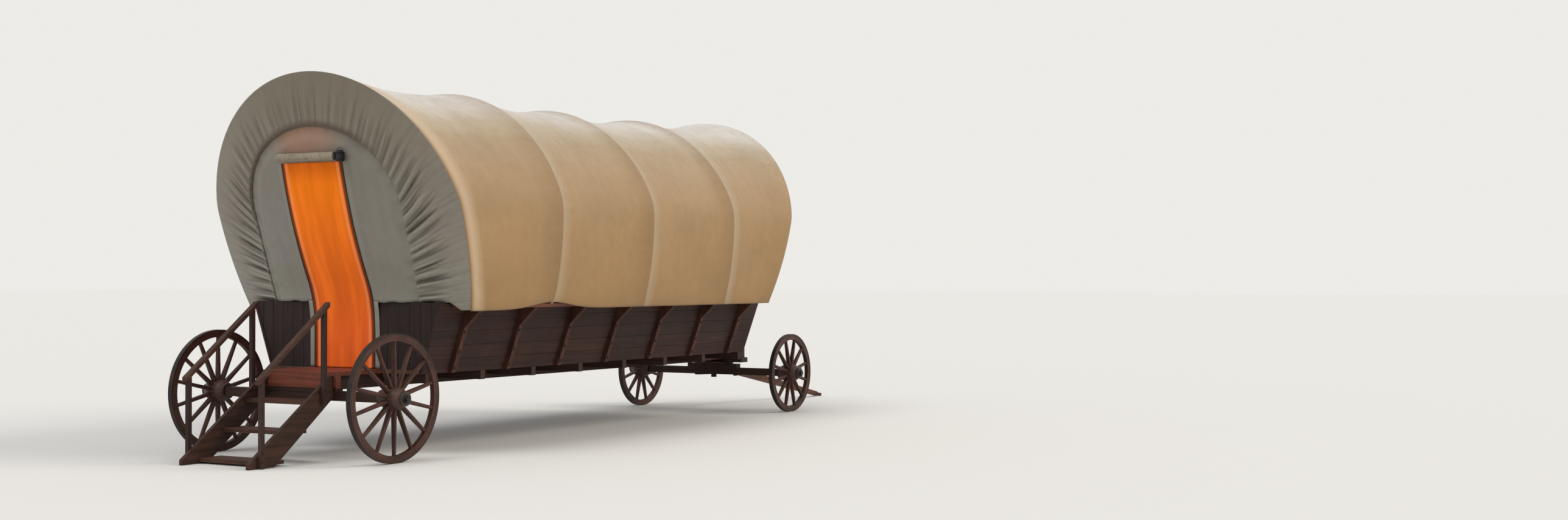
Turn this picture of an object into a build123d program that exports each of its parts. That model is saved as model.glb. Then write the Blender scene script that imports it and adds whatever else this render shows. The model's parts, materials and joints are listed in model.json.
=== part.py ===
# Covered wagon: a flared plank box under a hooped canvas cover, a porch with stairs between
# the door-end wheels, and a steered axle with a drawbar at the towing end.
# Millimetres. +Z up, ground at Z = 0, X across, the door end faces -Y. The origin lies under
# the middle of the whole wagon.
import os
from math import asin, atan2, cos, hypot, radians, sin, tan

from build123d import *

os.makedirs("parts", exist_ok=True)

# Lengths along the wagon
box_length = 6000
porch_depth = 620
stair_run = 1070
kingpin_reach = 900  # from the towing-end wall to the kingpin
hinge_reach = 560  # from the kingpin to the drawbar's hinge pin
drawbar_length = 2300  # from the hinge pin to the centre of the eye

# Box
floor_top = 840
floor_thick = 38
floor_half = 1000  # half width of the floor, to the outer face of the side walls
wall_top = 1500
wall_top_half = 1255
wall_thick = 30
wall_boards = 5
board_gap = 3
end_board = 140  # pitch of the upright boards in the end walls
end_wall_thick = 30
end_wall_back = 7  # from the canvas face to the boards behind it
groove = 8  # side of the square that cuts the V joints
doorway_half = 405
floor_boards = 14

# Frame under the floor
sill_width = 90
sill_depth = 120
sill_x = 380
bearer_width = 70
bearer_depth = 90
bearer_count = 8
bearer_inset = 60

# Ledges that carry the hoops
ledge_top = 1475
ledge_thick = 35
rib_width = 60
rib_thick = 45
rib_count = 7
rib_inset = 420
knee_drop = 190

# Canvas cover
canvas = 6
soft_gap = 0.3
hem_z = 1430
wide_z = 2400  # height at which the cover is widest
base_half = 1470
wide_half = 1610
end_lean = 17.6  # degrees that the end hoops lean outwards
end_hoop_in = 170  # from the end wall to the foot of the end hoop
bay_sag = 80
side_sag = 64  # at the cover's widest
bow_width = 40
bow_thick = 24
bow_gap = 10
end_bow_gap = 24  # the end bows stand further in, where the canvas already dips
shoulder_share = 0.5  # radius of the shoulder arc, as a share of the rise above wide_z

# Hoops along the cover: foot measured from the door-end wall, top height, lean in degrees
hoop_table = (
    (end_hoop_in, 3745, end_lean),
    (1460, 3695, 0),
    (3110, 3645, 0),
    (4790, 3655, 0),
    (box_length - end_hoop_in, 3740, -end_lean),
)

# Drawn-in canvas ends: a flat horseshoe inside each end hoop's, and the end canvas in it
drawn_hem = 20  # half depth of the hem along the drawn edge
drawn_depth = 125  # from the end hoop's plane out to the drawn edge
drawn_base_half = 950
drawn_wide_half = 974
drawn_top = 3210
drawn_shoulder = 800
end_hem_z = wall_top + 3
corner_half = 1300  # beyond this the band hangs down outside the box
end_slice_high = 3400  # past the drawn edge

# End canvas slices: place across the wagon, height where the bend outwards starts, its radius,
# its turn in degrees, radius of the long arc above it
end_slices = (
    (0, 1200, 1300, 25, 4600),
    (1000, 1500, 500, end_lean, 60000),
)

# Door
door_top = 2865
door_foot = floor_top + 5
piping = 13
piping_deep = 12
flap_thick = 4
edge_strip = 55
roll_r = 42
roll_length = 770
roll_z = 2915
roll_gap = 0.9
lantern_r = 50
lantern_gap = 3
lantern_high = 110
lantern_arm = 12

# Porch and stairs
porch_half = 485
porch_boards = 5
porch_beam = 60
tread_count = 3
riser = 262
going = 285
stair_half = 450
stringer_thick = 40
stringer_foot = 310
stringer_step = 50
tread_depth = 265
tread_thick = 36
tread_nose = 10
post_side = 42
post_low_y = 940  # from the porch edge
post_high_y = 150
post_high_foot = 545
rail_width = 60
rail_thick = 36
rail_top = 1590
rail_overhang = 50

# Wheels
track_half = 1160
big_wheel_r = 610
small_wheel_r = 500
big_spokes = 14
small_spokes = 12
tyre_thick = 10
tyre_width = 52
felloe_depth = 62
felloe_width = 48
fit_gap = 0.2
hub_r = 108
hub_length = 300
hub_neck_r = 78
hub_band = 30
hub_barrel = 84
spoke_root = (60, 36)  # across the wheel, then along its rim
spoke_tip = (36, 32)
axle_r = 38
axle_fit = 0.1
hub_cap = 22
hub_swell = 8  # bulge of the hub's long curves
hub_nose = 8  # how much thinner the outer neck is
spoke_in = 20  # how far a spoke is let into the hub
spoke_out = 10
porch_axle_reach = 565

# Running gear
axle_high = 90
axle_deep = 100
shoulder_gap = 6
bolster_width = 160
plate_r = 260
plate_thick = 12
kingpin_r = 22
pin_head = 14  # how far its head stands out
pin_head_high = 34
pin_reach = 40  # below the axle
gear_bolster_high = 50
pole_side = 70
pole_raise = 20
hound_width = 60
hound_high = 70
hound_spread = 330
hinge_z = 470
hinge_pin_r = 16
ear_thick = 24
ear_length = 150
hinge_pin_spare = 10
drawbar_width = 84
drawbar_butt = 96
drawbar_tip = 60
drawbar_tip_width = 60
eye_bore_r = 38
eye_rim = 27
eye_thick = 32
eye_gap = 6  # from the beam's end to the eye's bore

# Derived places
flare = atan2(wall_top_half - floor_half, wall_top - (floor_top - floor_thick))
bearing_z = floor_top - floor_thick
sill_bottom = bearing_z - sill_depth
eye_r = eye_bore_r + eye_rim
drawbar_span = drawbar_length + eye_r
drawbar_drop = asin(hinge_z / hypot(drawbar_span, eye_thick / 2)) - atan2(eye_thick / 2, drawbar_span)
drawbar_reach = drawbar_span * cos(drawbar_drop) + eye_thick / 2 * sin(drawbar_drop)
front_reach = porch_depth + stair_run
rear_reach = kingpin_reach + hinge_reach + drawbar_reach
door_y = front_reach - (front_reach + box_length + rear_reach) / 2
tow_y = door_y + box_length
porch_y = door_y - porch_depth
big_axle_y = door_y - porch_axle_reach
kingpin_y = tow_y + kingpin_reach
hinge_y = kingpin_y + hinge_reach
ledge_half = base_half - canvas - soft_gap


def wall_face(z):
    """Half width of the box at a height, to the outer face of its side wall."""
    return floor_half + (z - bearing_z) * tan(flare)


def save(part, name):
    part.label = name
    export_step(part, f"parts/{name}.step")


def arch_plane(y, lean):
    """Plane across the wagon at a hoop's foot, leaning towards -Y by lean degrees."""
    a = radians(lean)
    return Plane(origin=(0, y, hem_z), x_dir=(1, 0, 0), z_dir=(0, -cos(a), -sin(a)))


def arch(plane, half_base, half_wide, top, lean, shoulder, inset=0):
    """Horseshoe face: side arcs, shoulder arcs and a crown arc, all tangent."""
    up = 1 / cos(radians(lean))
    base = half_base - inset
    wide = half_wide - inset
    belly = (wide_z - hem_z) * up
    rise = (top - wide_z) * up - inset
    r = shoulder - inset
    bulge = wide - base
    side_r = (bulge**2 + belly**2) / (2 * bulge)
    crown = ((wide - r) ** 2 + rise**2 - r**2) / (2 * (rise - r))
    crown_z = belly + rise - crown
    side_turn = asin(belly / side_r) / 2
    crown_turn = atan2(wide - r, belly - crown_z)
    half_turn = (radians(90) - crown_turn) / 2
    side_mid = (wide - side_r + side_r * cos(side_turn), belly - side_r * sin(side_turn))
    shoulder_mid = (wide - r + r * cos(half_turn), belly + r * sin(half_turn))
    shoulder_end = (crown * sin(crown_turn), crown_z + crown * cos(crown_turn))
    with BuildSketch(plane) as face:
        with BuildLine():
            Line((-base, 0), (base, 0))
            ThreePointArc((base, 0), side_mid, (wide, belly))
            ThreePointArc((wide, belly), shoulder_mid, shoulder_end)
            ThreePointArc(shoulder_end, (0, belly + rise), (-shoulder_end[0], shoulder_end[1]))
            ThreePointArc(
                (-shoulder_end[0], shoulder_end[1]),
                (-shoulder_mid[0], shoulder_mid[1]),
                (-wide, belly),
            )
            ThreePointArc((-wide, belly), (-side_mid[0], side_mid[1]), (-base, 0))
        make_face()
    return face.sketch


def cover_arch(foot, top, lean, sag=0, inset=0):
    """Cover section at a distance from the door-end wall, drawn in by its sag."""
    shoulder = shoulder_share * (top - sag - wide_z)
    plane = arch_plane(door_y + foot, lean)
    wide = wide_half - side_sag * sag / bay_sag
    return arch(plane, base_half, wide, top - sag, lean, shoulder, inset)


def drawn_arch(foot, lean, inset):
    """Drawn edge of an end, in a plane beside its hoop's."""
    out = -drawn_depth if lean > 0 else drawn_depth
    plane = arch_plane(door_y + foot + out, lean)
    return arch(plane, drawn_base_half, drawn_wide_half, drawn_top, lean, drawn_shoulder, inset)


def bend_end(bend_z, bend_r, turn):
    """Where a slice's bend ends: how far out and how high."""
    return bend_r * (1 - cos(radians(turn))), bend_z + bend_r * sin(radians(turn))


def stands_out(z, end_slice):
    """How far the end canvas stands out at a height above a slice's bend."""
    bend_z, bend_r, turn, arc_r = end_slice[1:]
    bent_out, bent_z = bend_end(bend_z, bend_r, turn)
    start = radians(turn)
    slope = asin(sin(start) - (z - bent_z) / arc_r)
    return bent_out + arc_r * (cos(slope) - cos(start))


def end_face(end_slice, side, end_y, out, depth):
    """Upright slice of an end canvas: straight, a bend outwards, then a long arc."""
    x, bend_z, bend_r, turn, arc_r = end_slice
    bent = bend_end(bend_z, bend_r, turn)
    bend_mid = bend_end(bend_z, bend_r, turn / 2)
    mid_z = (bent[1] + end_slice_high) / 2
    arc_mid = (stands_out(mid_z, end_slice), mid_z)
    tip = (stands_out(end_slice_high, end_slice), end_slice_high)

    def at(point, shift):
        return (end_y + out * (point[0] - shift), point[1])

    with BuildSketch(Plane.YZ.offset(side * x)) as face:
        with BuildLine():
            Line(at((0, floor_top), 0), at((0, bend_z), 0))
            ThreePointArc(at((0, bend_z), 0), at(bend_mid, 0), at(bent, 0))
            ThreePointArc(at(bent, 0), at(arc_mid, 0), at(tip, 0))
            Line(at(tip, 0), at(tip, depth))
            ThreePointArc(at(tip, depth), at(arc_mid, depth), at(bent, depth))
            ThreePointArc(at(bent, depth), at(bend_mid, depth), at((0, bend_z), depth))
            Line(at((0, bend_z), depth), at((0, floor_top), depth))
            Line(at((0, floor_top), depth), at((0, floor_top), 0))
        make_face()
    return face.sketch


def end_sheet(end_y, out, depth):
    """Faces to loft across an end, bulging most in the middle."""
    middle, edge = end_slices
    rows = ((edge, -1), (middle, 0), (edge, 1))
    return [end_face(end_slice, side, end_y, out, depth) for end_slice, side in rows]


# Sills run from the porch edge to the towing bolster
sill_end = kingpin_y + bolster_width / 2
with BuildPart() as sills:
    with BuildSketch(Plane.XY.offset(sill_bottom)):
        with Locations((0, (porch_y + porch_beam + sill_end) / 2)):
            with GridLocations(2 * sill_x, 0, 2, 1):
                Rectangle(sill_width, sill_end - porch_y - porch_beam)
    extrude(amount=sill_depth)
save(sills.part, "main_sills")

# Cross bearers: one piece between the sills and one outrigger on each side
bearer_pitch = (box_length - 2 * bearer_inset - bearer_width) / (bearer_count - 1)
inner_span = 2 * sill_x - sill_width
outer_span = floor_half - sill_x - sill_width / 2
with BuildPart() as bearers:
    with BuildSketch(Plane.XY.offset(bearing_z - bearer_depth)):
        with Locations((0, door_y + box_length / 2)):
            with GridLocations(0, bearer_pitch, 1, bearer_count):
                Rectangle(inner_span, bearer_width)
            with GridLocations(2 * sill_x + sill_width + outer_span, bearer_pitch, 2, bearer_count):
                Rectangle(outer_span, bearer_width)
    extrude(amount=bearer_depth)
save(bearers.part, "cross_bearers")

# Floor boards lie between the side walls and stop at the towing-end wall
floor_length = box_length - end_wall_back - end_wall_thick - board_gap
floor_inner = 2 * (floor_half - wall_thick / cos(flare))
floor_pitch = floor_inner / floor_boards
with BuildPart() as floor:
    with BuildSketch(Plane.XY.offset(bearing_z)):
        with Locations((0, door_y + floor_length / 2)):
            with GridLocations(floor_pitch, 0, floor_boards, 1):
                Rectangle(floor_pitch - board_gap, floor_length)
    extrude(amount=floor_thick)
save(floor.part, "floor_boards")

# Flared side walls of long boards, their ribs with knees, and the ledges on the knees
wall_slope = (wall_top - wall_thick * sin(flare) - bearing_z) / cos(flare)
wall_pitch = wall_slope / wall_boards
rib_pitch = (box_length - 2 * rib_inset) / (rib_count - 1)
ledge_bottom = ledge_top - ledge_thick
for side, hand in ((-1, "left"), (1, "right")):
    foot = (side * floor_half, door_y + box_length / 2, bearing_z)
    face = Plane(origin=foot, x_dir=(0, side, 0), z_dir=(side * cos(flare), 0, -sin(flare)))
    with BuildPart() as wall:
        with BuildSketch(face):
            with Locations((0, wall_slope / 2)):
                with GridLocations(0, wall_pitch, 1, wall_boards):
                    Rectangle(box_length, wall_pitch - board_gap)
        extrude(amount=-wall_thick)
    save(wall.part, f"side_wall_{hand}")

    with BuildPart() as ribs:
        for i in range(rib_count):
            y = door_y + rib_inset + i * rib_pitch
            with BuildSketch(Plane.XZ.offset(-y - rib_width / 2)):
                with BuildLine():
                    Polyline(
                        (side * wall_face(bearing_z), bearing_z),
                        (side * (wall_face(bearing_z) + rib_thick), bearing_z),
                        (side * (wall_face(ledge_bottom - knee_drop) + rib_thick), ledge_bottom - knee_drop),
                        (side * (ledge_half - rib_thick), ledge_bottom),
                        (side * wall_face(ledge_bottom), ledge_bottom),
                        close=True,
                    )
                make_face()
        extrude(amount=rib_width)
    save(ribs.part, f"side_ribs_{hand}")

    ledge_start = door_y + end_hoop_in
    ledge_length = box_length - 2 * end_hoop_in
    with BuildPart() as ledge:
        with BuildSketch(Plane.XZ.offset(-ledge_start)):
            with BuildLine():
                Polyline(
                    (side * wall_face(ledge_bottom), ledge_bottom),
                    (side * ledge_half, ledge_bottom),
                    (side * ledge_half, ledge_top),
                    (side * wall_face(ledge_top), ledge_top),
                    close=True,
                )
            make_face()
        extrude(amount=-ledge_length)
    save(ledge.part, f"hoop_ledge_{hand}")

# End walls of upright boards with V joints: the door end stands on the floor and is open at the
# doorway, the towing end stands on the bearers' level behind the floor
inner_top = wall_face(wall_top) - wall_thick / cos(flare)
groove_count = 2 * int(inner_top / end_board) + 1
for end_y, out, name in ((door_y, -1, "door_end_wall"), (tow_y, 1, "towing_end_wall")):
    outer = end_y - out * end_wall_back
    foot_z = floor_top if out < 0 else bearing_z
    inner_foot = wall_face(foot_z) - wall_thick / cos(flare)
    with BuildPart() as end_wall:
        with BuildSketch(Plane.XZ.offset(-outer)):
            with BuildLine():
                Polyline(
                    (-inner_foot, foot_z),
                    (inner_foot, foot_z),
                    (inner_top, wall_top),
                    (-inner_top, wall_top),
                    close=True,
                )
            make_face()
        extrude(amount=out * end_wall_thick)
        with BuildSketch(Plane.XY.offset(foot_z)):
            with Locations((0, outer)):
                with GridLocations(end_board, 0, groove_count, 1):
                    Rectangle(groove, groove, rotation=45)
        extrude(amount=wall_top - foot_z, mode=Mode.SUBTRACT)
        if out < 0:
            with BuildSketch(Plane.XZ.offset(-outer)):
                with Locations((0, (floor_top + wall_top) / 2)):
                    Rectangle(2 * doorway_half, wall_top - floor_top)
            extrude(amount=-end_wall_thick, both=True, mode=Mode.SUBTRACT)
    save(end_wall.part, name)

# Wooden bows under the cover; the end bows lean with their hoops and stand inside them
with BuildPart() as bows:
    for foot, top, lean in hoop_table:
        shift = 0
        inset = canvas + bow_gap
        if lean != 0:
            shift = bow_width / 2 / cos(radians(lean)) * lean / end_lean
            inset = canvas + end_bow_gap
        outer_bow = cover_arch(foot + shift, top, lean, 0, inset)
        inner_bow = cover_arch(foot + shift, top, lean, 0, inset + bow_thick)
        extrude(outer_bow - inner_bow, amount=bow_width / 2, both=True)
    with BuildSketch(Plane.XY):
        with Locations((0, door_y + box_length / 2)):
            Rectangle(4 * base_half, 2 * box_length)
    extrude(amount=ledge_top, mode=Mode.SUBTRACT)
save(bows.part, "cover_bows")

# The cover hangs from hoop to hoop, one panel to a bay, drawn in between the hoops
for bay in range(len(hoop_table) - 1):
    near = hoop_table[bay]
    far = hoop_table[bay + 1]
    middle = [(a + b) / 2 for a, b in zip(near, far)]
    with BuildPart() as panel:
        loft([cover_arch(*near), cover_arch(*middle, bay_sag), cover_arch(*far)])
        loft(
            [
                cover_arch(*near, 0, canvas),
                cover_arch(*middle, bay_sag, canvas),
                cover_arch(*far, 0, canvas),
            ],
            mode=Mode.SUBTRACT,
        )
    save(panel.part, f"cover_panel_{bay + 1}")

# Drawn-in ends: a band from the end hoop in to the drawn edge, and the domed canvas inside it
for (foot, top, lean), end_y, out, end_name in (
    (hoop_table[0], door_y, -1, "door"),
    (hoop_table[-1], tow_y, 1, "towing"),
):
    with BuildPart() as band:
        funnel = loft([cover_arch(foot, top, lean), drawn_arch(foot, lean, 0)])
        add(funnel.moved(Location((0, -out * canvas, 0))), mode=Mode.SUBTRACT)
        opening = drawn_arch(foot, lean, canvas)
        extrude(opening, amount=end_hoop_in, both=True, mode=Mode.SUBTRACT)
        extrude(drawn_arch(foot, lean, 0) - opening, amount=drawn_hem, both=True)
        with Locations((0, end_y, end_hem_z / 2)):
            Box(2 * corner_half, 4 * end_hoop_in + 4 * drawn_depth, end_hem_z, mode=Mode.SUBTRACT)
    save(band.part, f"{end_name}_end_band")

    with BuildPart() as end_canvas:
        loft(end_sheet(end_y, out, canvas))
        with BuildPart(mode=Mode.PRIVATE) as outline:
            extrude(drawn_arch(foot, lean, canvas + soft_gap), amount=base_half, both=True)
            with Locations((0, end_y, end_hem_z / 2)):
                Box(2 * base_half, 4 * base_half, end_hem_z, mode=Mode.SUBTRACT)
            if out < 0:
                with Locations((0, end_y, (door_foot + door_top) / 2)):
                    Box(2 * (doorway_half + edge_strip), base_half, door_top - door_foot)
        add(outline.part, mode=Mode.INTERSECT)
        if out < 0:
            with Locations((0, end_y, (door_foot + door_top) / 2)):
                Box(2 * doorway_half, 2 * base_half, door_top - door_foot, mode=Mode.SUBTRACT)
    save(end_canvas.part, f"{end_name}_end_canvas")

# Door flap between its two piped edges, the rolled blind above it and the lantern
flap_high = door_top - door_foot - 2 * soft_gap
door_mid = (0, door_y, (door_foot + door_top) / 2)
with BuildPart() as flap:
    loft(end_sheet(door_y, -1, flap_thick))
    with Locations(door_mid):
        Box(2 * (doorway_half - piping), 2 * base_half, flap_high, mode=Mode.INTERSECT)
save(flap.part, "door_flap")

with BuildPart() as piping_strips:
    loft(end_sheet(door_y, -1, piping_deep))
    with BuildPart(mode=Mode.PRIVATE) as both_edges:
        with Locations(door_mid):
            with GridLocations(2 * doorway_half - piping, 0, 2, 1):
                Box(piping - 2 * soft_gap, 2 * base_half, flap_high)
    add(both_edges.part, mode=Mode.INTERSECT)
save(piping_strips.part, "door_piping")

roll_y = door_y - stands_out(roll_z, end_slices[0]) - roll_r - roll_gap
with BuildPart() as roll:
    with BuildSketch(Plane.YZ):
        with Locations((roll_y, roll_z)):
            Circle(roll_r)
    extrude(amount=roll_length / 2, both=True)
save(roll.part, "door_blind_roll")

lantern_x = roll_length / 2 + lantern_gap + lantern_r
lantern_foot = (lantern_x, roll_y, roll_z - lantern_high / 2)
with BuildPart() as lantern:
    with BuildSketch(Plane(origin=lantern_foot, x_dir=(1, 0, 0), z_dir=(0, -1, 0))):
        with BuildLine():
            Polyline(
                (0, 0),
                (lantern_r * 0.8, 0),
                (lantern_r, lantern_high * 0.14),
                (lantern_r * 0.78, lantern_high * 0.22),
                (lantern_r * 0.78, lantern_high * 0.66),
                (lantern_r, lantern_high * 0.74),
                (lantern_r * 0.35, lantern_high),
                (0, lantern_high),
                close=True,
            )
        make_face()
    revolve(axis=Axis((lantern_x, roll_y, 0), (0, 0, 1)))
    arm = lantern_x - lantern_r / 2 - roll_length / 2
    with Locations((roll_length / 2 + arm / 2, roll_y, roll_z)):
        Box(arm, lantern_arm, lantern_arm)
save(lantern.part, "door_lantern")

# Porch boards across the sills, and the beam that the stairs hang on
porch_pitch = porch_depth / porch_boards
with BuildPart() as porch:
    with BuildSketch(Plane.XY.offset(bearing_z)):
        with Locations((0, door_y - porch_depth / 2)):
            with GridLocations(0, porch_pitch, 1, porch_boards):
                Rectangle(2 * porch_half, porch_pitch - board_gap)
    extrude(amount=floor_thick)
save(porch.part, "porch_boards")

with BuildPart() as front_beam:
    with BuildSketch(Plane.XY.offset(bearing_z - sill_depth)):
        with Locations((0, porch_y + porch_beam / 2)):
            Rectangle(2 * porch_half, porch_beam)
    extrude(amount=sill_depth)
save(front_beam.part, "porch_beam")

# Stairs: two stringers from the porch beam to the ground with treads housed between them
stair_slope = floor_top / stair_run
toe_y = porch_y - stair_run
with BuildPart() as stringers:
    for side in (-1, 1):
        with BuildSketch(Plane.YZ.offset(side * (stair_half - stringer_thick / 2))):
            with BuildLine():
                Polyline(
                    (porch_y, bearing_z),
                    (porch_y - stringer_step, bearing_z),
                    (toe_y, stringer_step),
                    (toe_y, 0),
                    (toe_y + stringer_foot, 0),
                    (porch_y, (stair_run - stringer_foot) * stair_slope),
                    close=True,
                )
            make_face()
    extrude(amount=stringer_thick / 2, both=True)
save(stringers.part, "stair_stringers")

with BuildPart() as treads:
    for step in range(1, tread_count + 1):
        with BuildSketch(Plane.XY.offset(floor_top - step * riser - tread_thick)):
            with Locations((0, porch_y - step * going - tread_nose + tread_depth / 2)):
                Rectangle(2 * (stair_half - stringer_thick), tread_depth)
        extrude(amount=tread_thick)
save(treads.part, "stair_treads")

# Posts stand outside the stringers and carry the flat handrails
rail_slope = atan2(floor_top, stair_run)


def rail_under(y):
    """Underside of the handrail at a place along the wagon."""
    return rail_top - rail_thick / cos(rail_slope) - (porch_y - y) * tan(rail_slope)


# Posts: distance from the porch edge, height of the foot
post_table = ((post_low_y, 0), (post_high_y, post_high_foot))
with BuildPart() as posts:
    for side in (-1, 1):
        for reach, post_foot in post_table:
            y = porch_y - reach
            near_y = y - post_side / 2
            far_y = y + post_side / 2
            with BuildSketch(Plane.YZ.offset(side * (stair_half + post_side / 2))):
                with BuildLine():
                    Polyline(
                        (near_y, post_foot),
                        (far_y, post_foot),
                        (far_y, rail_under(far_y)),
                        (near_y, rail_under(near_y)),
                        close=True,
                    )
                make_face()
    extrude(amount=post_side / 2, both=True)
save(posts.part, "stair_posts")

rail_low = porch_y - post_low_y - rail_overhang
rail_high = porch_y - post_high_y + rail_overhang
rail_rise = rail_thick / cos(rail_slope)
with BuildPart() as rails:
    for side in (-1, 1):
        with BuildSketch(Plane.YZ.offset(side * (stair_half + post_side / 2))):
            with BuildLine():
                Polyline(
                    (rail_low, rail_under(rail_low)),
                    (rail_high, rail_under(rail_high)),
                    (rail_high, rail_under(rail_high) + rail_rise),
                    (rail_low, rail_under(rail_low) + rail_rise),
                    close=True,
                )
            make_face()
    extrude(amount=rail_width / 2, both=True)
save(rails.part, "handrails")


# Axle: a squared beam with a round arm at each end, on which the hubs turn
arm_end = track_half + hub_length / 2 - hub_cap - shoulder_gap
beam_half = track_half - hub_length / 2 - shoulder_gap
with BuildPart() as fixed_axle:
    with Locations((0, big_axle_y, big_wheel_r)):
        Box(2 * beam_half, axle_deep, axle_high)
        Cylinder(axle_r, 2 * arm_end, rotation=(0, 90, 0))
    bolster_high = sill_bottom - big_wheel_r - axle_high / 2
    with Locations((0, big_axle_y, sill_bottom - bolster_high / 2)):
        Box(2 * sill_x + 2 * sill_width, axle_deep, bolster_high)
save(fixed_axle.part, "fixed_axle")

# Towing bolster on the sills with the upper turning plate and the kingpin
gear_top = small_wheel_r + axle_high / 2 + gear_bolster_high + plate_thick
with BuildPart() as bolster:
    upper_plate = gear_top + soft_gap
    bolster_foot = upper_plate + plate_thick
    with Locations((0, kingpin_y, (bolster_foot + sill_bottom) / 2)):
        Box(2 * sill_x + 2 * sill_width, bolster_width, sill_bottom - bolster_foot)
    with Locations((0, kingpin_y, upper_plate + plate_thick / 2)):
        Cylinder(plate_r, plate_thick)
    pin_foot = small_wheel_r - axle_high / 2 - pin_reach
    with BuildSketch(Plane.XY.offset(pin_foot)):
        with Locations((0, kingpin_y)):
            Circle(kingpin_r)
    extrude(amount=upper_plate - pin_foot)
    with BuildSketch(Plane.XY.offset(pin_foot)):
        with Locations((0, kingpin_y)):
            Circle(kingpin_r + pin_head)
    extrude(amount=pin_head_high)
save(bolster.part, "towing_bolster")

with BuildPart() as pole:
    pole_start = big_axle_y + axle_deep / 2
    pole_end = kingpin_y - bolster_width / 2
    with Locations((0, (pole_start + pole_end) / 2, sill_bottom - pole_side / 2 + pole_raise)):
        Box(pole_side, pole_end - pole_start, pole_side)
save(pole.part, "reach_pole")

# Turning gear: steered axle, its bolster and the lower plate
with BuildPart() as steered_axle:
    with Locations((0, kingpin_y, small_wheel_r)):
        Box(2 * beam_half, axle_deep, axle_high)
        Cylinder(axle_r, 2 * arm_end, rotation=(0, 90, 0))
    with Locations((0, kingpin_y, small_wheel_r + axle_high / 2 + gear_bolster_high / 2)):
        Box(2 * sill_x, axle_deep, gear_bolster_high)
    with Locations((0, kingpin_y, gear_top - plate_thick / 2)):
        Cylinder(plate_r, plate_thick)
    with Locations((0, kingpin_y, small_wheel_r)):
        Cylinder(kingpin_r + axle_fit, 4 * axle_high, mode=Mode.SUBTRACT)
save(steered_axle.part, "steered_axle")

# Hounds run from the axle to the ears that hold the drawbar's pin
ear_in = drawbar_width / 2 + shoulder_gap
ear_mid = ear_in + ear_thick / 2
hound_y = kingpin_y + axle_deep / 2
with BuildPart() as hounds:
    for side in (-1, 1):
        with BuildSketch(Plane.XY.offset(hinge_z - hound_high / 2)):
            with BuildLine():
                Polyline(
                    (side * hound_spread, hound_y),
                    (side * (hound_spread - hound_width), hound_y),
                    (side * ear_in, hinge_y - ear_length + hound_width),
                    (side * ear_in, hinge_y + hound_high / 2),
                    (side * (ear_in + ear_thick), hinge_y + hound_high / 2),
                    (side * (ear_in + ear_thick), hinge_y - ear_length + hound_width),
                    close=True,
                )
            make_face()
        extrude(amount=hound_high)
    with Locations((0, hinge_y, hinge_z)):
        Cylinder(hinge_pin_r, 2 * (ear_in + ear_thick + hinge_pin_spare), rotation=(0, 90, 0))
save(hounds.part, "hounds")

# Drawbar lies with its eye on the ground; its bore is the hitch
down = Plane(
    origin=(0, hinge_y, hinge_z),
    x_dir=(1, 0, 0),
    z_dir=(0, cos(drawbar_drop), -sin(drawbar_drop)),
)
beam_end = drawbar_length - eye_bore_r - eye_gap
with BuildPart() as drawbar:
    with BuildSketch(down.offset(-drawbar_butt / 2)) as butt:
        Rectangle(drawbar_width, drawbar_butt)
    with BuildSketch(down.offset(beam_end)) as tip:
        Rectangle(drawbar_tip_width, drawbar_tip)
    loft()
    with Locations((0, hinge_y, hinge_z)):
        Cylinder(hinge_pin_r + axle_fit, 2 * drawbar_width, rotation=(0, 90, 0), mode=Mode.SUBTRACT)
    eye_at = down.offset(drawbar_length).origin
    eye_plane = Plane(origin=eye_at, x_dir=(1, 0, 0), z_dir=(0, sin(drawbar_drop), cos(drawbar_drop)))
    with BuildSketch(eye_plane.offset(-eye_thick / 2)):
        Circle(eye_r)
    extrude(amount=eye_thick)
    with BuildSketch(eye_plane.offset(-eye_thick)):
        Circle(eye_bore_r)
    extrude(amount=2 * eye_thick, mode=Mode.SUBTRACT)
save(drawbar.part, "drawbar")


def octagon(width, height):
    """Rectangle with its corners shaved to a quarter of the shorter side."""
    cut = min(width, height) / 4
    with BuildSketch(mode=Mode.PRIVATE) as face:
        Rectangle(width, height)
        chamfer(face.vertices(), cut)
    return face.sketch


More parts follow.
